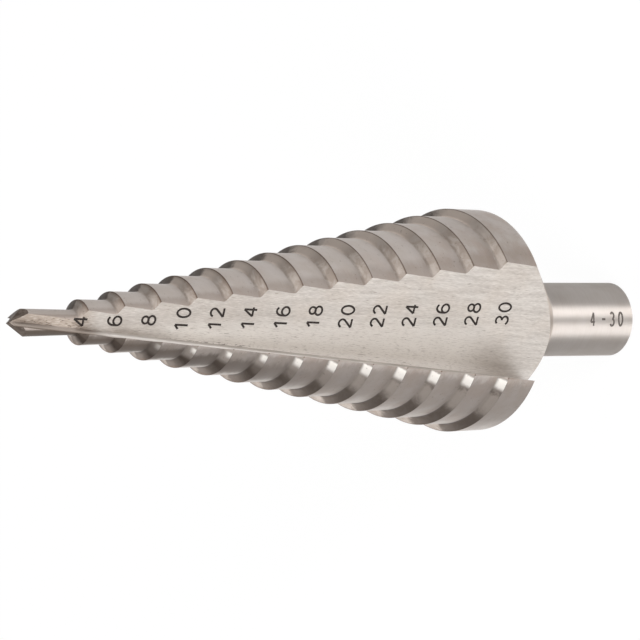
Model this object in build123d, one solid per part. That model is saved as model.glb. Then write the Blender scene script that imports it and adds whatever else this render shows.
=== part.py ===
from build123d import *
import os
from math import cos, radians, sin, tan

# Step drill for sheet metal: a bar of tool steel, turned to steps, relieved and fluted in one piece.
# Millimetres and degrees. The drill stands on its shank end: the origin is the centre of that face,
# +Z runs along the axis to the point, and the numbered flute opens towards -Y.
# Headings are turned about +Z from +X. Seen from the point, the drill cuts counterclockwise.

# Lengths along the axis
overall_length = 100.0
pilot_length = 10.6          # from the point to the outer corner of the first shoulder
step_length = 5.0
last_land_length = 4.8
shank_end_chamfer = 0.3

# Diameters
shank_diameter = 10.0
pilot_diameter = 3.8
first_step_diameter = 6.0
diameter_rise = 2.0
step_count = 13

# Turned form
shoulder_angle = 112.0       # across both sides of a shoulder
land_back_taper = 1.2        # each land is slimmer at its rear, by this angle to the axis
rear_angle = 90.0            # across both sides of the cone behind the last step

# Relief: each land is ground about a centre moved off the axis, so it falls away behind its edge
relief_offset = 0.12
relief_heading = 294.0       # of the moved centre, for the land on the -X side
edge_heading = 238.5         # of that land's cutting edge, where the steps have their full size

# Flutes: two straight grooves, each with a wide floor, a narrow rake face and a rounded root
floor_offset = 0.295         # from the axis to the floor, level with the point
floor_taper = 5.59           # the floor leaves the axis by this angle, so the web thickens
floor_heading = 239.8        # which way the floor faces
rake_offset = 0.46           # from the axis to the rake face, level with the point
rake_taper = 5.77
rake_heading = 0.0
root_radius = 0.45

# Point: on each land a flat flank behind the lip, then a steeper clearance facet
flank_angle = 80.0           # across both sides of the point
flank_heading = 194.6        # which way the flank of the -X land falls
clearance_angle = 60.5
clearance_heading = 152.5
clearance_lift = 0.4         # the clearance facets would meet the axis this far past the point

shank_radius = shank_diameter / 2
last_radius = (first_step_diameter + diameter_rise * (step_count - 1)) / 2
last_corner = overall_length - pilot_length - step_length * (step_count - 1)
head_bottom = last_corner - last_land_length
last_rear_radius = last_radius - last_land_length * tan(radians(land_back_taper))
beyond = 2 * last_radius     # how far cutting shapes reach past the drill


def heading(angle):
    """Unit vector square to the axis."""
    return Vector(cos(radians(angle)), sin(radians(angle)), 0)


def step_outline():
    """Half section of the steps, from the point down to the plane of the shank end."""
    fall = tan(radians(land_back_taper))
    points = [(0, overall_length), (pilot_diameter / 2, overall_length)]
    corner = overall_length - pilot_length
    for number in range(step_count):
        radius = (first_step_diameter + diameter_rise * number) / 2
        above_radius, above_corner = points[-1]
        shoulder = (radius - above_radius) / tan(radians(shoulder_angle / 2))
        drop = (above_corner - corner - shoulder) * fall
        shoulder_top = corner + (radius - above_radius + drop) / tan(radians(shoulder_angle / 2))
        points += [(above_radius - drop, shoulder_top), (radius, corner)]
        corner -= step_length
    points += [(last_radius - last_corner * fall, 0), (0, 0)]
    return points


def relieved_half():
    """The -X half of the stepped blank, turned about its own moved centre."""
    edge_gain = relief_offset * cos(radians(relief_heading - edge_heading))
    outline = [(max(radius - edge_gain, 0), height) for radius, height in step_outline()]
    blank = revolve(Plane.XZ * make_face(Polyline(*outline, close=True)), Axis.Z)
    blank = Pos(heading(relief_heading) * relief_offset) * blank
    side = Box(beyond, 2 * beyond, overall_length, align=(Align.MAX, Align.CENTER, Align.MIN))
    return blank & side


def envelope():
    """Shank and rear cone, open above: what the steps are turned down to behind the head."""
    slope = tan(radians(rear_angle / 2))
    wide = last_radius + beyond
    outline = [
        (0, 0),
        (shank_radius - shank_end_chamfer, 0),
        (shank_radius, shank_end_chamfer),
        (shank_radius, head_bottom - (last_rear_radius - shank_radius) / slope),
        (wide, head_bottom + (wide - last_rear_radius) / slope),
        (wide, overall_length + beyond),
        (0, overall_length + beyond),
    ]
    return revolve(Plane.XZ * make_face(Polyline(*outline, close=True)), Axis.Z)


def flute():
    """The groove ahead of the -X land: a long wedge along the line where floor and rake face meet."""
    floor = (heading(floor_heading) + Vector(0, 0, tan(radians(floor_taper)))).normalized()
    rake = (heading(rake_heading) - Vector(0, 0, tan(radians(rake_taper)))).normalized()
    root = floor.cross(rake).normalized()
    along_floor = root.cross(floor)
    along_rake = rake.cross(root)

    # A point of the root line, level with the drill's point
    floor_normal, rake_normal = heading(floor_heading), heading(rake_heading)
    spread = floor_normal.dot(rake_normal)
    share = 1 - spread * spread
    start = (
        floor_normal * ((floor_offset + spread * rake_offset) / share)
        - rake_normal * ((rake_offset + spread * floor_offset) / share)
        + Vector(0, 0, overall_length)
    )
    section = Plane(origin=start, x_dir=along_floor, z_dir=root)
    far_floor = section.to_local_coords(start + along_floor * 2 * beyond)
    far_rake = section.to_local_coords(start + along_rake * 2 * beyond)
    wedge = make_face(Polyline((0, 0), (far_floor.X, far_floor.Y), (far_rake.X, far_rake.Y), close=True))
    wedge = fillet(wedge.vertices().sort_by_distance((0, 0, 0))[0], root_radius)
    return extrude(section * wedge, 2 * overall_length, both=True)


def facet(angle, falls_towards, lift=0.0):
    """What is ground off to leave one flat facet of the point, on the -X land."""
    facing = heading(falls_towards) / tan(radians(angle / 2)) + Vector(0, 0, 1)
    ground = Plane(origin=(0, 0, overall_length + lift), z_dir=facing)
    return ground * Box(2 * beyond, 2 * beyond, beyond, align=(Align.CENTER, Align.CENTER, Align.MIN))


def both_sides(shape):
    """A shape and its copy half a turn about the axis."""
    return [shape, Rot(0, 0, 180) * shape]


def step_drill():
    half, other_half = both_sides(relieved_half())
    drill = (half + other_half) & envelope()
    flank = facet(flank_angle, flank_heading)
    clearance = facet(clearance_angle, clearance_heading, clearance_lift)
    for cutter in both_sides(flute()) + both_sides(flank) + both_sides(clearance):
        drill -= cutter
    return drill


os.makedirs("parts", exist_ok=True)
export_step(step_drill(), "parts/step_drill.step")
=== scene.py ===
from math import cos, hypot, pi, radians, sin, tan

import bmesh
import bpy
from mathutils import Matrix, Vector


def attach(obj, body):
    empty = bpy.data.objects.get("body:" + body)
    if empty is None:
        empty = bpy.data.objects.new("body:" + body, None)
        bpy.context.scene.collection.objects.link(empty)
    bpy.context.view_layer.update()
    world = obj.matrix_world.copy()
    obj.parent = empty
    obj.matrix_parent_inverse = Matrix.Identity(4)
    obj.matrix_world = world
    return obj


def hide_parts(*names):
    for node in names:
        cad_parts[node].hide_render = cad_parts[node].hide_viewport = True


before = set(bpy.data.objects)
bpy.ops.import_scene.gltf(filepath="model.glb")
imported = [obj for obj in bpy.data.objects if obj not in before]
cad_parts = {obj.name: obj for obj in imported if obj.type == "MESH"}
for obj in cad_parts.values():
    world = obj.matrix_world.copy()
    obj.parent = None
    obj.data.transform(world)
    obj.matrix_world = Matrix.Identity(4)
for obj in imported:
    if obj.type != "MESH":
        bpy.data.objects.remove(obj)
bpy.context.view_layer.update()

# A step drill, standing on its shank end with its point up and the numbered flute towards -Y.
# Sizes are in millimetres and degrees. A finished piece is brought to metres.
# Headings are turned about +Z from +X.
MM = 0.001

# ---------------------------------------------------------------- sizes of the drill
OVERALL_LENGTH = 100.0
PILOT_LENGTH = 10.6
STEP_LENGTH = 5.0
LAST_LAND_LENGTH = 4.8
SHANK_END_CHAMFER = 0.3
SHANK_RADIUS = 5.0
PILOT_RADIUS = 1.9
FIRST_RADIUS = 3.0
RADIUS_RISE = 1.0
STEP_COUNT = 13
SHOULDER_ANGLE = 112.0    # across both sides of a shoulder
LAND_BACK_TAPER = 1.2
REAR_ANGLE = 90.0         # across both sides of the cone behind the last step

# Each land is ground about a centre moved off the axis. Headings are those of the -X land.
RELIEF_OFFSET = 0.12
RELIEF_HEADING = 294.0
EDGE_HEADING = 238.5

# Flutes, measured level with the point, and the flat facets of the point
FLOOR_OFFSET, FLOOR_TAPER, FLOOR_HEADING = 0.295, 5.59, 239.8
RAKE_OFFSET, RAKE_TAPER, RAKE_HEADING = 0.46, 5.77, 0.0
ROOT_RADIUS = 0.45
FLANK_ANGLE, FLANK_HEADING = 80.0, 194.6
CLEARANCE_ANGLE, CLEARANCE_HEADING, CLEARANCE_LIFT = 60.5, 152.5, 0.4

# Roundings: how far each reaches along the outline, and in how many pieces it is made
SHOULDER_ROOT, SHOULDER_ROOT_PIECES = 0.26, 4
CORNER_ROUND, CORNER_PIECES = 0.05, 2
REAR_ROOT, REAR_ROOT_PIECES = 0.25, 5
FLUTE_ROOT_PIECES = 10
TURN_STEPS = 288          # faces round a turned surface

FIRST_CORNER = OVERALL_LENGTH - PILOT_LENGTH
LAST_CORNER = FIRST_CORNER - STEP_LENGTH * (STEP_COUNT - 1)
LAST_RADIUS = FIRST_RADIUS + RADIUS_RISE * (STEP_COUNT - 1)
HEAD_BOTTOM = LAST_CORNER - LAST_LAND_LENGTH
BEYOND = 2 * LAST_RADIUS  # how far cutting shapes reach past the drill
CORE_OVERLAP = 0.3        # the two halves of the blank share this much past the axis plane
EDGE_GAIN = RELIEF_OFFSET * cos(radians(RELIEF_HEADING - EDGE_HEADING))

# Corners closer than these are one corner; the coarse one is for the cut drill and the pen's paths
WELD = 1e-4
COARSE_WELD = 1e-3


def heading(angle):
    """Unit vector square to the axis."""
    return Vector((cos(radians(angle)), sin(radians(angle)), 0))


def half_turn(vector):
    return Vector((-vector.x, -vector.y, vector.z))


UP = Vector((0, 0, 1))
POINT = UP * OVERALL_LENGTH
RELIEF_CENTRE = heading(RELIEF_HEADING) * RELIEF_OFFSET
FLOOR_FACING = (heading(FLOOR_HEADING) + UP * tan(radians(FLOOR_TAPER))).normalized()
RAKE_FACING = (heading(RAKE_HEADING) - UP * tan(radians(RAKE_TAPER))).normalized()
FLANK_FACING = (heading(FLANK_HEADING) / tan(radians(FLANK_ANGLE / 2)) + UP).normalized()
CLEARANCE_FACING = (heading(CLEARANCE_HEADING) / tan(radians(CLEARANCE_ANGLE / 2)) + UP).normalized()

# Print on the front flute's floor and marking on the shank. Widths and heights are those of the
# pen's path, and the stroke is the pen's width.
FIRST_SIZE, SIZE_RISE = 4, 2
NUMBER_WIDTH, NUMBER_HEIGHT, NUMBER_STROKE = 1.32, 1.92, 0.31
NUMBER_PITCH = 1.93       # from the first to the second figure of a number
NUMBER_LEAN = 7.0
FIRST_NUMBER_HEIGHT, NUMBER_SPACING = 90.05, 4.85
FIRST_NUMBER_ACROSS, NUMBER_DRIFT = 0.87, 0.338    # each number is this much further across
SHANK_SIGN_WIDTH, SHANK_SIGN_HEIGHT, SHANK_SIGN_STROKE = 0.74, 1.8, 0.30
SHANK_SIGNS = [("4", 7.54), ("-", 5.59), ("3", 3.98), ("0", 2.46)]    # each with its height
PRINT_RISE = 0.012        # how far print stands off the steel
PEN_PIECES = 2            # roundness of the pen
PATH_CUTS = 3             # more corners along each stretch of a path


# ---------------------------------------------------------------- bench work
def clear_bench():
    bpy.ops.object.select_all(action="DESELECT")


def take(pieces):
    """Select just these pieces, and make the first one active."""
    clear_bench()
    for piece in pieces:
        piece.select_set(True)
    bpy.context.view_layer.objects.active = pieces[0]


def edit(piece):
    """Start to edit a piece, with all of it selected."""
    bpy.context.view_layer.objects.active = piece
    bpy.ops.object.mode_set(mode="EDIT")
    bpy.ops.mesh.select_mode(type="VERT")
    bpy.ops.mesh.select_all(action="SELECT")


def put_down():
    bpy.ops.object.mode_set(mode="OBJECT")


def face_outwards():
    bpy.ops.mesh.select_all(action="SELECT")
    bpy.ops.mesh.normals_make_consistent(inside=False)


def welded_shut():
    """Weld doubled corners of the piece being edited, and put it down."""
    bpy.ops.mesh.select_all(action="SELECT")
    bpy.ops.mesh.remove_doubles(threshold=WELD)
    face_outwards()
    put_down()


def resized(piece, factors):
    """Scale a piece about the origin, in its mesh."""
    take([piece])
    edit(piece)
    bpy.ops.transform.resize(value=factors, center_override=(0, 0, 0))
    put_down()


def finished(piece, name):
    """Bring a piece from millimetres to metres, and name it."""
    resized(piece, (MM, MM, MM))
    piece.name = piece.data.name = name


def half_turned_copy(piece):
    """A copy of a piece, turned half a turn about the axis."""
    take([piece])
    bpy.ops.object.duplicate()
    copy = bpy.context.object
    edit(copy)
    bpy.ops.transform.rotate(value=pi, orient_axis="Z", center_override=(0, 0, 0))
    put_down()
    return copy


def as_one(pieces):
    take(pieces)
    if len(pieces) > 1:
        bpy.ops.object.join()
    return pieces[0]


def drawn_line(points):
    """An open line through the points, drawn corner after corner and left in edit mode."""
    clear_bench()
    bpy.ops.mesh.primitive_plane_add(size=1.0)
    line = bpy.context.object
    edit(line)
    bpy.ops.mesh.merge(type="CENTER")
    bpy.ops.transform.translate(value=Vector(points[0]))
    for before, after in zip(points, points[1:]):
        step = Vector(after) - Vector(before)
        bpy.ops.mesh.extrude_region_move(TRANSFORM_OT_translate={"value": step})
    bpy.ops.mesh.select_all(action="SELECT")
    return line


def rounded_off(line, places, reach, pieces):
    """Round the corners of a line, in edit mode, that lie at the given places."""
    bpy.ops.mesh.select_all(action="DESELECT")
    mesh = bmesh.from_edit_mesh(line.data)
    for corner in mesh.verts:
        corner.select = any((corner.co - place).length < WELD for place in places)
    mesh.select_flush_mode()
    bmesh.update_edit_mesh(line.data)
    bpy.ops.mesh.bevel(offset=reach, segments=pieces, affect="VERTICES")
    bpy.ops.mesh.select_all(action="SELECT")


def turned(outline, centre, rounded):
    """A closed turned blank: half its section is drawn, rounded and spun about its centre.

    rounded holds (numbers of the outline's corners, reach, pieces)."""
    places = [centre + Vector((radius, 0, height)) for radius, height in outline]
    blank = drawn_line(places)
    for numbers, reach, pieces in rounded:
        rounded_off(blank, [places[number] for number in numbers], reach, pieces)
    bpy.ops.mesh.spin(steps=TURN_STEPS, angle=2 * pi, center=centre, axis=UP)
    welded_shut()
    return blank


def sliced(piece, place, facing):
    """Cut off what lies on the side that the plane faces, and close the cut."""
    edit(piece)
    bpy.ops.mesh.bisect(plane_co=place, plane_no=facing, use_fill=True, clear_outer=True)
    put_down()


def combined(piece, other, operation):
    """Boolean of two closed pieces; the other one is used up."""
    cut = piece.modifiers.new("cut", "BOOLEAN")
    cut.operation, cut.object, cut.solver = operation, other, "MANIFOLD"
    bpy.context.view_layer.objects.active = piece
    bpy.ops.object.modifier_apply(modifier=cut.name)
    bpy.data.objects.remove(other)


# ---------------------------------------------------------------- the form of the drill
def step_outline():
    """Half section of the steps from the point down, and which corners are roots and outer corners."""
    fall = tan(radians(LAND_BACK_TAPER))
    slope = tan(radians(SHOULDER_ANGLE / 2))
    points, roots, corners = [(0, OVERALL_LENGTH), (PILOT_RADIUS, OVERALL_LENGTH)], [], []
    for number in range(STEP_COUNT):
        radius = FIRST_RADIUS + RADIUS_RISE * number
        corner = FIRST_CORNER - STEP_LENGTH * number
        above_radius, above_corner = points[-1]
        shoulder = (radius - above_radius) / slope
        drop = (above_corner - corner - shoulder) * fall
        shoulder_top = corner + (radius - above_radius + drop) / slope
        roots.append(len(points))
        corners.append(len(points) + 1)
        points += [(above_radius - drop, shoulder_top), (radius, corner)]
    points += [(LAST_RADIUS - LAST_CORNER * fall, 0), (0, 0)]
    return points, roots, corners


def relieved_half():
    """The -X half of the stepped blank, turned about its own moved centre."""
    outline, roots, corners = step_outline()
    outline = [(max(radius - EDGE_GAIN, 0), height) for radius, height in outline]
    rounded = [(roots, SHOULDER_ROOT, SHOULDER_ROOT_PIECES), (corners, CORNER_ROUND, CORNER_PIECES)]
    half = turned(outline, RELIEF_CENTRE, rounded)
    sliced(half, (CORE_OVERLAP, 0, 0), (1, 0, 0))
    return half


def envelope():
    """Shank and rear cone, open above."""
    slope = tan(radians(REAR_ANGLE / 2))
    rear_radius = LAST_RADIUS - LAST_LAND_LENGTH * tan(radians(LAND_BACK_TAPER))
    wide = LAST_RADIUS + BEYOND
    top = OVERALL_LENGTH + BEYOND
    outline = [
        (0, 0),
        (SHANK_RADIUS - SHANK_END_CHAMFER, 0),
        (SHANK_RADIUS, SHANK_END_CHAMFER),
        (SHANK_RADIUS, HEAD_BOTTOM - (rear_radius - SHANK_RADIUS) / slope),
        (wide, HEAD_BOTTOM + (wide - rear_radius) / slope),
        (wide, top),
        (0, top),
    ]
    shank_top = 3         # its number in the outline
    return turned(outline, Vector((0, 0, 0)), [([shank_top], REAR_ROOT, REAR_ROOT_PIECES)])


def root_line():
    """A point of the line where floor and rake face would meet, and the line's direction."""
    floor, rake = heading(FLOOR_HEADING), heading(RAKE_HEADING)
    spread = floor.dot(rake)
    share = 1 - spread * spread
    start = (
        floor * ((FLOOR_OFFSET + spread * RAKE_OFFSET) / share)
        - rake * ((RAKE_OFFSET + spread * FLOOR_OFFSET) / share)
        + POINT
    )
    return start, FLOOR_FACING.cross(RAKE_FACING).normalized()


def flute_cutter():
    """A long wedge with a rounded edge, along the root of the flute ahead of the -X land."""
    start, root = root_line()
    along_floor = root.cross(FLOOR_FACING)
    along_rake = RAKE_FACING.cross(root)
    bottom = start - root * 2 * OVERALL_LENGTH
    cutter = drawn_line([bottom + along_floor * 2 * BEYOND, bottom, bottom + along_rake * 2 * BEYOND])
    half_angle = along_floor.angle(along_rake) / 2
    rounded_off(cutter, [bottom], ROOT_RADIUS / tan(half_angle), FLUTE_ROOT_PIECES)
    bpy.ops.mesh.edge_face_add()
    bpy.ops.mesh.extrude_region_move(TRANSFORM_OT_translate={"value": root * 4 * OVERALL_LENGTH})
    face_outwards()
    put_down()
    return cutter


def fluted_drill():
    """The whole form: two relieved halves, turned down to the shank, then fluted and pointed."""
    blank = relieved_half()
    combined(blank, half_turned_copy(blank), "UNION")
    combined(blank, envelope(), "INTERSECT")
    cutter = flute_cutter()
    other_cutter = half_turned_copy(cutter)
    combined(blank, cutter, "DIFFERENCE")
    combined(blank, other_cutter, "DIFFERENCE")
    for facing, lift in ((FLANK_FACING, 0), (CLEARANCE_FACING, CLEARANCE_LIFT)):
        for side in (facing, half_turn(facing)):
            sliced(blank, POINT + UP * lift, side)
    edit(blank)
    bpy.ops.mesh.remove_doubles(threshold=COARSE_WELD)
    bpy.ops.mesh.dissolve_degenerate(threshold=WELD)
    face_outwards()
    put_down()
    return blank


# ---------------------------------------------------------------- which face has which finish
FLOOR_SLOT, RAKE_SLOT, STEPS_SLOT, POINT_SLOT, SHANK_SLOT = range(5)
SAME_FACING = 0.99995     # cosine above which a face lies in a plane
ROOT_REACH = 0.95         # the rounded root lies within this of the root line
STEEP = 0.3               # a face of the root points up or down by less than this
ROOT_BOTTOM = 15.0        # the root ends above this height
ROOT_LIMIT = LAST_RADIUS - 2    # and within this of the axis
LAND_DEPTH = 0.15         # a face of a land lies within this of its outline
CLEAR_OF_HEAD = 0.01      # a face of the rear cone lies this much below the head


def on_steps(place):
    """Whether a place lies on the turned surface of one of the two lands."""
    centre = half_turn(RELIEF_CENTRE) if place.x > 0 else RELIEF_CENTRE
    radius = hypot(place.x - centre.x, place.y - centre.y)
    outline = step_outline()[0]
    for (above, top), (below, bottom) in zip(outline, outline[1:]):
        if bottom <= place.z <= top and top > bottom:
            share = (top - place.z) / (top - bottom)
            if abs(above + share * (below - above) - EDGE_GAIN - radius) < LAND_DEPTH:
                return True
    return False


def finishes_laid_on(piece):
    """Each face of the drill gets the finish of the cut that made it."""
    floors, rakes, facets = (
        [side for facing in facings for side in (facing, half_turn(facing))]
        for facings in ([FLOOR_FACING], [RAKE_FACING], [FLANK_FACING, CLEARANCE_FACING])
    )
    start, root = root_line()
    roots = [(start, root), (half_turn(start), half_turn(root))]

    def faces_along(face, normals):
        return any(face.normal.dot(normal) > SAME_FACING for normal in normals)

    def in_root(face, middle):
        from_root = min((middle - point).cross(line).length for point, line in roots)
        return (from_root < ROOT_REACH and abs(face.normal.z) < STEEP and middle.z > ROOT_BOTTOM
                and hypot(middle.x, middle.y) < ROOT_LIMIT and not on_steps(middle))

    mesh = bmesh.new()
    mesh.from_mesh(piece.data)
    for face in mesh.faces:
        middle = face.calc_center_median()
        if faces_along(face, floors):
            slot = FLOOR_SLOT
        elif faces_along(face, rakes) or in_root(face, middle):
            slot = RAKE_SLOT
        elif faces_along(face, facets):
            slot = POINT_SLOT
        elif middle.z < HEAD_BOTTOM - CLEAR_OF_HEAD:
            slot = SHANK_SLOT
        else:
            slot = STEPS_SLOT
        face.material_index = slot
    mesh.to_mesh(piece.data)
    mesh.free()


# ---------------------------------------------------------------- how a finish is described
class Wire:
    """An output of a shader node. Sums written with it become Math nodes."""

    def __init__(self, finish, socket):
        self.finish, self.socket = finish, socket

    def worked(self, operation, *values):
        return self.finish.node("ShaderNodeMath", {"operation": operation}, dict(enumerate(values)))

    def __add__(self, other):
        return self.worked("ADD", self, other)

    def __sub__(self, other):
        return self.worked("SUBTRACT", self, other)

    def __rsub__(self, other):
        return self.worked("SUBTRACT", other, self)

    def __mul__(self, other):
        return self.worked("MULTIPLY", self, other)

    def __truediv__(self, other):
        return self.worked("DIVIDE", self, other)

    __radd__, __rmul__ = __add__, __mul__


class Finish:
    """A material or sky in the making, with the places and patterns that describe a surface."""

    def __init__(self, owner):
        owner.use_nodes = True
        self.tree = owner.node_tree
        self.tree.nodes.clear()
        self.object_place = self.node("ShaderNodeTexCoord", output="Object")
        self.place = self.stretched(1, 1, 1)
        parts = self.node("ShaderNodeSeparateXYZ", inputs={0: self.place}, output=None)
        self.x, self.y, self.z = (Wire(self, parts.outputs[axis]) for axis in "XYZ")
        self.radius = self.x.worked("SQRT", self.x * self.x + self.y * self.y)

    def node(self, kind, settings=None, inputs=None, output=0):
        """Make a node. Its named output comes back, or the node itself where output is None."""
        made = self.tree.nodes.new(kind)
        for name, value in (settings or {}).items():
            setattr(made, name, value)
        for name, value in (inputs or {}).items():
            if isinstance(value, Wire):
                self.tree.links.new(value.socket, made.inputs[name])
            else:
                made.inputs[name].default_value = value
        return made if output is None else Wire(self, made.outputs[output])

    # Patterns and masks
    def stretched(self, across_x, across_y, along_z):
        """The place in millimetres, with each axis scaled for a pattern."""
        scale = (across_x / MM, across_y / MM, along_z / MM)
        return self.node("ShaderNodeVectorMath", {"operation": "MULTIPLY"},
                         {0: self.object_place, 1: scale})

    def grain(self, place, scale=1.0, detail=2.0, roughness=0.5, distortion=0.0):
        return self.node("ShaderNodeTexNoise", None, {
            "Vector": place, "Scale": scale, "Detail": detail, "Roughness": roughness,
            "Distortion": distortion})

    def rise(self, value, low, high):
        """0 below low, 1 above high, and a soft rise between; low may be above high."""
        return self.node("ShaderNodeMapRange", {"interpolation_type": "SMOOTHSTEP"},
                         {"Value": value, "From Min": low, "From Max": high})

    def band(self, value, start, full, fading, end):
        """0 outside start to end, 1 from full to fading."""
        return self.rise(value, start, full) * self.rise(value, end, fading)

    def highest(self, first, second):
        return first.worked("MAXIMUM", first, second)

    def lowest(self, first, second):
        return first.worked("MINIMUM", first, second)

    # Colours
    def tint(self, mask, first, second):
        """The first colour where the mask is 0, the second where it is 1."""
        colours = {}
        for number, colour in ((6, first), (7, second)):
            colours[number] = colour if isinstance(colour, Wire) else (*colour, 1)
        return self.node("ShaderNodeMix", {"data_type": "RGBA"}, {0: mask, **colours}, output=2)

    def layered(self, colour, layers):
        """Lay colours over one another, each where its mask is."""
        for mask, laid in layers:
            colour = self.tint(mask, colour, laid)
        return colour

    # The surface
    def relief(self, height, depth, strength=1.0):
        """A bump whose height runs from 0 to depth millimetres."""
        return self.node("ShaderNodeBump", None, {
            "Height": height, "Distance": depth * MM, "Strength": strength})

    def surface(self, colour, roughness, normal, metallic=1.0, **constants):
        """The shader and the output. Underscores in the names of constants stand for spaces."""
        values = {"Base Color": colour, "Roughness": roughness, "Metallic": metallic, "Normal": normal}
        for name, value in constants.items():
            values[name.replace("_", " ")] = value
        shader = self.node("ShaderNodeBsdfPrincipled", None, values)
        self.node("ShaderNodeOutputMaterial", None, {"Surface": shader}, output=None)

    def rays(self):
        """1 where the camera looks straight, and 1 where metal mirrors or glass lets through."""
        path = self.node("ShaderNodeLightPath", output=None)
        seen, glossy, through = (
            Wire(self, path.outputs[name])
            for name in ("Is Camera Ray", "Is Glossy Ray", "Is Transmission Ray"))
        return seen, glossy + through

    # Where a place is on the drill
    def behind_edge(self):
        """Degrees behind the cutting edge of the land."""
        angle = self.x.worked("ARCTAN2", self.y, self.x) * (180 / pi)
        return angle.worked("FLOORED_MODULO", EDGE_HEADING - angle, 180.0)

    def below_corner(self):
        """Millimetres below the outer corner of the last shoulder passed, counted from the point."""
        return self.z.worked("FLOORED_MODULO", FIRST_CORNER - self.z, STEP_LENGTH)

    def from_root_share(self):
        """0 at the root of a flute, 1 abreast of the axis, and rising on past it."""
        side = self.y.worked("SIGN", self.y)
        reach = (OVERALL_LENGTH - self.z) * tan(radians(RAKE_TAPER)) + RAKE_OFFSET
        return (reach - side * self.x) / reach


def srgb(red, green, blue):
    """A colour from the scale of a paint chart, 0 to 255, as a shader takes it."""
    return tuple(((part / 255 + 0.055) / 1.055) ** 2.4 for part in (red, green, blue))


ROUND_THE_AXIS = 0.25     # a quarter turn: reflections are drawn out square to the turned grooves


# ---------------------------------------------------------------- finishes of the drill
def ground_floor(finish):
    """The wide floor of a flute, ground along the axis, with a few pits towards its root."""
    hair = finish.grain(finish.stretched(13, 13, 0.09), detail=2, roughness=0.6)
    scratch = finish.grain(finish.stretched(6, 6, 0.05), detail=2, roughness=0.5)
    streak = finish.grain(finish.stretched(2.0, 2.0, 0.04), detail=3, roughness=0.55)
    cloud = finish.grain(finish.place, scale=0.22, detail=3)

    # Regions of the floor: painted light over the root half and along the root, and painted shade at
    # the wide end
    share = finish.from_root_share()
    pilot = finish.rise(finish.z, 87, 91)
    wide = finish.rise(finish.z, 33, 24)
    painted_light_root_half = finish.rise(share, 1.25, 0.4) * finish.rise(finish.z, 84, 72) * (1 - wide)
    painted_light_root_rim = finish.rise(share, 0.28, 0.14) * (1 - pilot) * (1 - wide * 0.7)

    # Short dark dashes in places, and pits along the root and on the pilot
    dash = finish.rise(finish.grain(finish.stretched(8, 8, 0.4), detail=1), 0.65, 0.72)
    dash = dash * finish.rise(finish.grain(finish.place, scale=0.5, detail=2), 0.42, 0.6)
    pit = finish.rise(finish.grain(finish.stretched(8, 8, 1.5), detail=2), 0.56, 0.64)
    pit = pit * finish.highest(
        finish.band(share, 0.1, 0.16, 0.2, 0.3) * finish.rise(finish.z, 58, 70),
        finish.band(share, 0.05, 0.3, 1.3, 1.7) * pilot)

    colour = finish.tint(finish.rise(streak, 0.3, 0.7), srgb(183, 176, 170), srgb(201, 195, 189))
    colour = finish.layered(colour, [
        (finish.rise(cloud, 0.35, 0.7) * 0.35, srgb(194, 182, 171)),
        (finish.rise(finish.z, 52, 70) * 0.4, srgb(166, 158, 151)),
        (pilot * 0.85, srgb(168, 153, 140)),
        # Painted light over the root half of the floor and along its root
        (painted_light_root_half * 0.9, srgb(240, 236, 231)),
        (painted_light_root_rim * 0.85, srgb(246, 243, 240)),
        # Painted shade towards the root at the wide end
        (finish.rise(share, 0.8, 0.1) * wide * 0.2, srgb(160, 151, 143)),
        (finish.rise(hair, 0.5, 0.72) * 0.45, srgb(226, 221, 215)),
        (finish.rise(hair, 0.48, 0.3) * 0.4, srgb(150, 140, 132)),
        (finish.rise(scratch, 0.34, 0.24) * 0.5, srgb(142, 131, 122)),
        (dash * 0.45, srgb(118, 107, 98)),
        (pit * 0.8, srgb(82, 68, 59)),
    ])
    roughness = 0.38 + hair * 0.12 + dash * 0.1
    finish.surface(colour, roughness, finish.relief(hair + streak * 0.6, 0.012, 0.35))


def ground_rake(finish):
    """The narrow rake face and the rounded root, browned towards the point."""
    hair = finish.grain(finish.stretched(7, 7, 0.3), detail=3, roughness=0.6)
    streak = finish.grain(finish.stretched(1.5, 1.5, 0.06), detail=2)
    colour = finish.tint(finish.rise(streak, 0.3, 0.7), srgb(188, 182, 177), srgb(203, 198, 193))
    colour = finish.layered(colour, [
        (finish.rise(hair, 0.5, 0.25) * 0.3, srgb(160, 152, 144)),
        (finish.rise(finish.z, 84, 89) * 0.8, srgb(122, 109, 99)),
    ])
    finish.surface(colour, 0.36 + hair * 0.12, finish.relief(hair, 0.01, 0.4))


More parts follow.
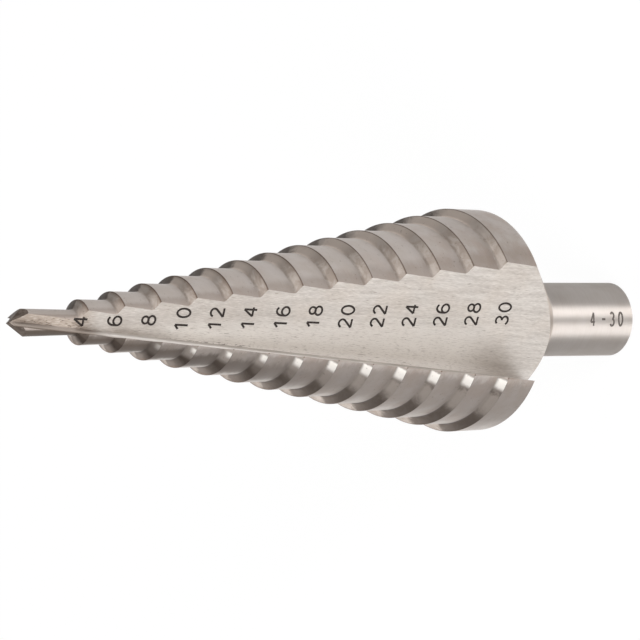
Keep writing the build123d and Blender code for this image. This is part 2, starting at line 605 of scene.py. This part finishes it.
def turned_steps(finish):
    """Lands and shoulders: ground round the axis, with painted shade and light in bands behind the
    edges, dark along the corners.
    """
    ring = finish.grain(finish.stretched(0.35, 0.35, 11), detail=3, roughness=0.6)
    cloud = finish.grain(finish.place, scale=0.4, detail=3, roughness=0.55)
    patch = finish.grain(finish.stretched(0.55, 0.55, 1.0), detail=4, roughness=0.65, distortion=0.6)
    fleck = finish.rise(finish.grain(finish.place, scale=2.4, detail=2), 0.66, 0.74)
    stain = finish.rise(finish.grain(finish.place, scale=0.17, detail=4, roughness=0.7), 0.46, 0.66)

    # Where a place is on its step: degrees and millimetres behind the edge, and up or down the step
    behind = finish.behind_edge()
    uneven = behind + (patch - 0.5) * 14
    arc_length = behind * finish.radius * (pi / 180) + (patch - 0.5) * 0.5
    below = finish.below_corner()
    above = STEP_LENGTH - below

    # Which step it is on
    on_head = (finish.rise(finish.z, LAST_CORNER - 2, LAST_CORNER - 1)
               * finish.rise(finish.z, FIRST_CORNER + 1.4, FIRST_CORNER + 1))
    small = finish.rise(finish.z, 45, 75)
    smallest = finish.rise(finish.z, 72, 84)
    pilot = finish.rise(finish.z, 88, 91)
    left = finish.rise(finish.x, 0.5, -0.5)

    land = finish.tint(finish.rise(cloud, 0.3, 0.7), srgb(166, 156, 148), srgb(180, 172, 167))
    land = finish.layered(land, [
        (finish.rise(ring, 0.45, 0.75) * 0.15, srgb(205, 198, 192)),
        (stain * 0.35, srgb(160, 141, 130)),
        # Painted shade behind the edge, more so on the small steps, then a pale band of painted light
        (finish.band(uneven, 0, 6, 26, 42) * 0.55, srgb(136, 127, 121)),
        (finish.band(uneven, 8, 18, 34, 48) * small * 0.8, srgb(94, 84, 77)),
        (finish.band(uneven, 0, 8, 42, 56) * smallest * 0.6, srgb(108, 96, 87)),
        (finish.band(uneven, 38, 46, 62, 76) * 0.45, srgb(208, 202, 197)),
        # The pilot is browned, most of all behind its edge
        (pilot * 0.5, srgb(136, 123, 113)),
        (pilot * finish.rise(behind, 66, 46) * 0.8, srgb(94, 83, 74)),
        # Painted light further round, and brown along the heel
        (finish.rise(behind, 60, 75) * finish.rise(finish.z, 28, 44) * 0.35, srgb(208, 199, 193)),
        (finish.rise(behind + patch * 8, 108, 118) * 0.4, srgb(132, 117, 106)),
    ])

    # A shoulder has painted shade behind the edge, a painted highlight close to it, and painted light
    # further round on the +X side
    painted_shade_end = finish.rise(uneven - small * 9 - left * 12, 54, 47)
    painted_light_end = finish.band(uneven, 52, 62, 72, 92) * (1 - smallest) * (1 - left)
    painted_highlight = (finish.rise(arc_length - small * 0.2, 0.2, 0.5)
             * finish.rise(arc_length + small * 0.7, 2.3, 1.5)
             * finish.rise(above + small * 0.45, 0.98, 0.6) * (1 - smallest))
    shoulder = finish.tint(finish.rise(patch, 0.35, 0.65), srgb(154, 142, 133), srgb(176, 166, 158))
    shoulder = finish.layered(shoulder, [
        (painted_light_end * 0.85, srgb(212, 198, 187)),
        (painted_shade_end * 0.8, srgb(80, 70, 63)),
        # Painted shade and painted light in bands behind the edge, darker on the small steps
        (finish.band(uneven, 12, 20, 32, 42) * small * 0.75, srgb(74, 63, 56)),
        (finish.band(uneven, 8, 14, 22, 32) * (1 - small) * 0.6, srgb(186, 176, 168)),
        (finish.rise(arc_length, 2.8, 1.7) * (1 - smallest) * 0.9, srgb(160, 151, 144)),
        (painted_highlight, srgb(240, 235, 229)),
    ])

    # Flecks, brown above the outer corners of the small steps, and a thin line along roots and corners
    browned = finish.rise(above + patch * 0.3, 0.5, 0.1) * on_head * small * finish.rise(behind, 40, 60)
    corner = finish.lowest(below, above)
    line = finish.rise(corner + cloud * 0.08, 0.14, 0.06) * on_head * finish.rise(behind, 30, 60)
    colour = finish.tint(finish.rise(above, 1.12, 0.82) * on_head, land, shoulder)
    colour = finish.layered(colour, [
        (fleck * 0.35, srgb(108, 96, 86)),
        (browned * 0.6, srgb(112, 90, 74)),
        (line * 0.75, srgb(90, 72, 60)),
    ])
    finish.surface(colour, 0.38 + cloud * 0.14, finish.relief(ring + cloud * 0.3, 0.01, 0.3),
                   Anisotropic=0.8, Anisotropic_Rotation=ROUND_THE_AXIS)


def ground_point(finish):
    """The facets of the point, ground across their slope and browned by it."""
    hair = finish.grain(finish.stretched(6, 6, 1.4), detail=3, roughness=0.6)
    cloud = finish.grain(finish.place, scale=1.3, detail=3)
    colour = finish.tint(finish.rise(cloud, 0.3, 0.7), srgb(92, 80, 72), srgb(124, 112, 103))
    colour = finish.tint(finish.rise(hair, 0.5, 0.75) * 0.35, colour, srgb(156, 144, 135))
    finish.surface(colour, 0.42 + hair * 0.15, finish.relief(hair, 0.012, 0.5))


def turned_shank(finish):
    """Shank and rear cone, ground fine and bright, with the cone darker."""
    ring = finish.grain(finish.stretched(0.2, 0.2, 14), detail=2, roughness=0.6)
    cloud = finish.grain(finish.place, scale=0.4, detail=3)
    cone = finish.rise(finish.radius, SHANK_RADIUS + 0.01, SHANK_RADIUS + 0.2)
    colour = finish.tint(finish.rise(ring, 0.3, 0.7) * 0.5, srgb(178, 171, 166), srgb(190, 184, 179))
    colour = finish.layered(colour, [
        (finish.rise(cloud, 0.4, 0.7) * 0.3, srgb(168, 158, 150)),
        (cone * 0.8, srgb(128, 118, 110)),
    ])
    finish.surface(colour, 0.48 + cloud * 0.04, finish.relief(ring, 0.003, 0.15),
                   Anisotropic=0.97, Anisotropic_Rotation=ROUND_THE_AXIS)


# ---------------------------------------------------------------- finishes of print and marking
def burnt_marking(finish):
    """The dark print of the size numbers."""
    speck = finish.grain(finish.place, scale=7, detail=3)
    colour = finish.tint(finish.rise(speck, 0.35, 0.7), srgb(24, 20, 18), srgb(44, 37, 33))
    finish.surface(colour, 0.6 + speck * 0.2, finish.relief(speck, 0.01), metallic=0.0,
                   Specular_IOR_Level=0.2)


def stamped_marking(finish):
    """The softer grey of the figures struck into the shank."""
    speck = finish.grain(finish.place, scale=5, detail=3)
    colour = finish.tint(finish.rise(speck, 0.3, 0.7), srgb(66, 60, 56), srgb(86, 79, 74))
    finish.surface(colour, 0.45 + speck * 0.2, finish.relief(speck, 0.01), metallic=0.3)


def material_of(describe):
    """A new material, named after the function that describes its finish."""
    material = bpy.data.materials.new(describe.__name__)
    describe(Finish(material))
    return material


# ---------------------------------------------------------------- figures
def arc(middle, reach, start, end, count=14):
    """Points of an oval arc, from one angle to the other."""
    angles = [radians(start + (end - start) * number / count) for number in range(count + 1)]
    return [(middle[0] + reach[0] * cos(angle), middle[1] + reach[1] * sin(angle)) for angle in angles]


# The pen's paths for each sign, in a box one wide and one high
FIGURES = {
    "0": [arc((0.5, 0.5), (0.47, 0.5), 0, 360, 24)],
    "1": [[(0.16, 0.72), (0.62, 1.0)], [(0.62, 1.0), (0.62, 0.0)]],
    "2": [arc((0.47, 0.73), (0.43, 0.27), 168, -38) + [(0.02, 0.0)], [(0.02, 0.0), (0.98, 0.0)]],
    "3": [arc((0.46, 0.76), (0.40, 0.24), 155, -90), arc((0.46, 0.26), (0.46, 0.26), 90, -155)],
    "4": [[(0.74, 0.0), (0.74, 1.0)], [(0.74, 1.0), (0.0, 0.30)], [(0.0, 0.30), (1.0, 0.30)]],
    "6": [arc((0.52, 0.56), (0.50, 0.44), 45, 180) + [(0.02, 0.30)],
          arc((0.5, 0.30), (0.48, 0.30), 0, 360, 20)],
    "8": [arc((0.5, 0.755), (0.39, 0.245), 0, 360, 20), arc((0.5, 0.27), (0.48, 0.27), 0, 360, 20)],
    "-": [[(0.1, 0.5), (0.95, 0.5)]],
}


def stroke_along(path, width, height, stroke):
    """One stroke of a round pen, with closed ends."""
    drawn_line([((x - 0.5) * width, (y - 0.5) * height, 0) for x, y in path])
    bpy.ops.mesh.remove_doubles(threshold=COARSE_WELD)
    bpy.ops.mesh.select_all(action="SELECT")
    bpy.ops.mesh.subdivide(number_cuts=PATH_CUTS)
    put_down()
    bpy.ops.object.convert(target="CURVE")
    curve = bpy.context.object.data
    curve.bevel_depth = stroke / 2
    curve.bevel_resolution = PEN_PIECES
    curve.use_fill_caps = True
    bpy.ops.object.convert(target="MESH")
    piece = bpy.context.object
    edit(piece)
    welded_shut()
    return piece


def figure(sign, width, height, stroke):
    """One sign, flattened so that it stands off its ground by the rise of the print."""
    piece = as_one([stroke_along(path, width, height, stroke) for path in FIGURES[sign]])
    resized(piece, (1, 1, 2 * PRINT_RISE / stroke))
    return piece


def copied(piece, matrix):
    """A copy with its own mesh, put in its place."""
    take([piece])
    bpy.ops.object.duplicate()
    copy = bpy.context.object
    copy.data.transform(matrix)
    return copy


def size_numbers():
    """4 to 30 on the floor of the front flute, each beside its step."""
    upright = (UP - FLOOR_FACING * FLOOR_FACING.z).normalized()
    across = upright.cross(FLOOR_FACING)
    lean = radians(NUMBER_LEAN)
    reading = across * cos(lean) + upright * sin(lean)
    signs = {sign: figure(sign, NUMBER_WIDTH, NUMBER_HEIGHT, NUMBER_STROKE) for sign in "0123468"}
    placed = []
    for number in range(STEP_COUNT + 1):
        text = str(FIRST_SIZE + SIZE_RISE * number)
        height = FIRST_NUMBER_HEIGHT - NUMBER_SPACING * number
        floor_depth = FLOOR_OFFSET + tan(radians(FLOOR_TAPER)) * (OVERALL_LENGTH - height)
        along = FIRST_NUMBER_ACROSS + NUMBER_DRIFT * number
        middle = heading(FLOOR_HEADING) * floor_depth + across * along + UP * height
        for place, sign in enumerate(text):
            shift = (place - (len(text) - 1) / 2) * NUMBER_PITCH
            matrix = Matrix((reading, upright, FLOOR_FACING)).transposed().to_4x4()
            matrix.translation = middle + reading * shift
            placed.append(copied(signs[sign], matrix))
    for sign in signs.values():
        bpy.data.objects.remove(sign)
    return as_one(placed)


def shank_range():
    """4 - 30 round the front of the shank, reading down it."""
    placed = []
    for sign, height in SHANK_SIGNS:
        piece = figure(sign, SHANK_SIGN_WIDTH, SHANK_SIGN_HEIGHT, SHANK_SIGN_STROKE)
        for corner in piece.data.vertices:
            down, side, out = corner.co
            turn = side / SHANK_RADIUS
            reach = SHANK_RADIUS + out
            corner.co = (reach * sin(turn), -reach * cos(turn), height - down)
        placed.append(piece)
    return as_one(placed)


# ---------------------------------------------------------------- the pieces
SHARP = 30.0              # edges sharper than this stay sharp

drill = fluted_drill()
drill.data.materials.clear()
for describe in (ground_floor, ground_rake, turned_steps, ground_point, turned_shank):
    drill.data.materials.append(material_of(describe))
finishes_laid_on(drill)
finished(drill, "drill")
bpy.ops.object.shade_smooth_by_angle(angle=radians(SHARP))
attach(drill, "root")
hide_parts("step_drill")

numbers = size_numbers()
numbers.data.materials.append(material_of(burnt_marking))
finished(numbers, "size_numbers")
bpy.ops.object.shade_smooth()
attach(numbers, "root")

marking = shank_range()
marking.data.materials.append(material_of(stamped_marking))
finished(marking, "shank_range")
bpy.ops.object.shade_smooth()
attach(marking, "root")

# ---------------------------------------------------------------- camera
# It looks at the middle of the drill from the front and above, with the point to the left.
MIDDLE = Vector((0, 0, 0.05))    # in metres, as is the distance
CAMERA_DISTANCE = 0.577915
CAMERA_TILT = 38.316
CAMERA_ROLL = -0.0059957         # radians
PICTURE_WIDTH = 640              # pixels, as are the focal length and the shifts
FOCAL_LENGTH = 4422.995
SHIFT_X, SHIFT_Y = -4.60, 0.84
SENSOR_WIDTH = 36
NEAREST, FARTHEST = 0.05, 10     # what is seen, in metres


def put_up(name, data):
    """An object that holds a camera or a lamp."""
    holder = bpy.data.objects.new(name, data)
    bpy.context.scene.collection.objects.link(holder)
    return holder


def camera():
    tilt = radians(CAMERA_TILT)
    right, up = Vector((0, -sin(tilt), -cos(tilt))), Vector((1, 0, 0))
    forward = Vector((0, cos(tilt), -sin(tilt)))
    axis_x = right * cos(CAMERA_ROLL) + up * sin(CAMERA_ROLL)
    axis_y = up * cos(CAMERA_ROLL) - right * sin(CAMERA_ROLL)
    turn = Matrix((axis_x, axis_y, -forward)).transposed().to_4x4()
    lens = bpy.data.cameras.new("camera")
    lens.sensor_width = SENSOR_WIDTH
    lens.lens = FOCAL_LENGTH * SENSOR_WIDTH / PICTURE_WIDTH
    lens.shift_x, lens.shift_y = SHIFT_X / PICTURE_WIDTH, SHIFT_Y / PICTURE_WIDTH
    lens.clip_start, lens.clip_end = NEAREST, FARTHEST
    holder = put_up("camera", lens)
    holder.matrix_world = Matrix.Translation(MIDDLE - forward * CAMERA_DISTANCE) @ turn
    return holder


# ---------------------------------------------------------------- floor, studio and lamps
FLOOR_SIZE = 4                   # metres

# Each lamp: its name, heading, height angle, distance and size in metres, and power in watts
LAMPS = [
    ("front_left", 240, 25, 0.9, 0.55, 8),
    ("front_right", 291, 22, 0.9, 0.42, 7),
    ("rear_left", 118, 20, 0.9, 0.3, 1.5),
    ("high_left", 190, 62, 0.9, 0.25, 0.9),
    ("high_rear", 150, 50, 0.9, 0.4, 0.8),
    ("high_right", 2, 60, 0.9, 0.7, 2.6),
]


def pale_floor(finish):
    """A plain pale floor that shows white, to the camera and in the metal, and keeps the shadow."""
    seen, mirrored = finish.rays()
    lit = finish.node("ShaderNodeBsdfDiffuse", None, {"Color": (0.8, 0.8, 0.8, 1)})
    white = finish.node("ShaderNodeEmission", None, {"Strength": 1.0})
    share = seen * 0.93 + mirrored * 0.35
    mixed = finish.node("ShaderNodeMixShader", None, {0: share, 1: lit, 2: white})
    finish.node("ShaderNodeOutputMaterial", None, {"Surface": mixed}, output=None)


def studio():
    """A white room: full white to the camera, and dimmer as a light."""
    world = bpy.data.worlds.new("studio")
    sky = Finish(world)
    seen, mirrored = sky.rays()
    glow = sky.node("ShaderNodeBackground", None, {
        "Color": (1, 1, 1, 1), "Strength": 0.35 + seen * 0.65 + mirrored * 0.08})
    sky.node("ShaderNodeOutputWorld", None, {"Surface": glow}, output=None)
    return world


def lamp(name, bearing, height_angle, distance, size, power):
    """A square soft lamp, placed by its heading and height and turned to the drill."""
    light = bpy.data.lights.new(name, "AREA")
    light.shape, light.size, light.energy = "SQUARE", size, power
    holder = put_up(name, light)
    out = heading(bearing) * cos(radians(height_angle)) + UP * sin(radians(height_angle))
    holder.location = MIDDLE + out * distance
    holder.rotation_euler = (-out).to_track_quat("-Z", "Y").to_euler()


clear_bench()
bpy.ops.mesh.primitive_plane_add(size=FLOOR_SIZE)
floor = bpy.context.object
floor.name = "floor"
floor.data.materials.append(material_of(pale_floor))

for settings in LAMPS:
    lamp(*settings)
bpy.context.scene.camera = camera()
bpy.context.scene.world = studio()
bpy.context.scene.view_settings.view_transform = "Standard"
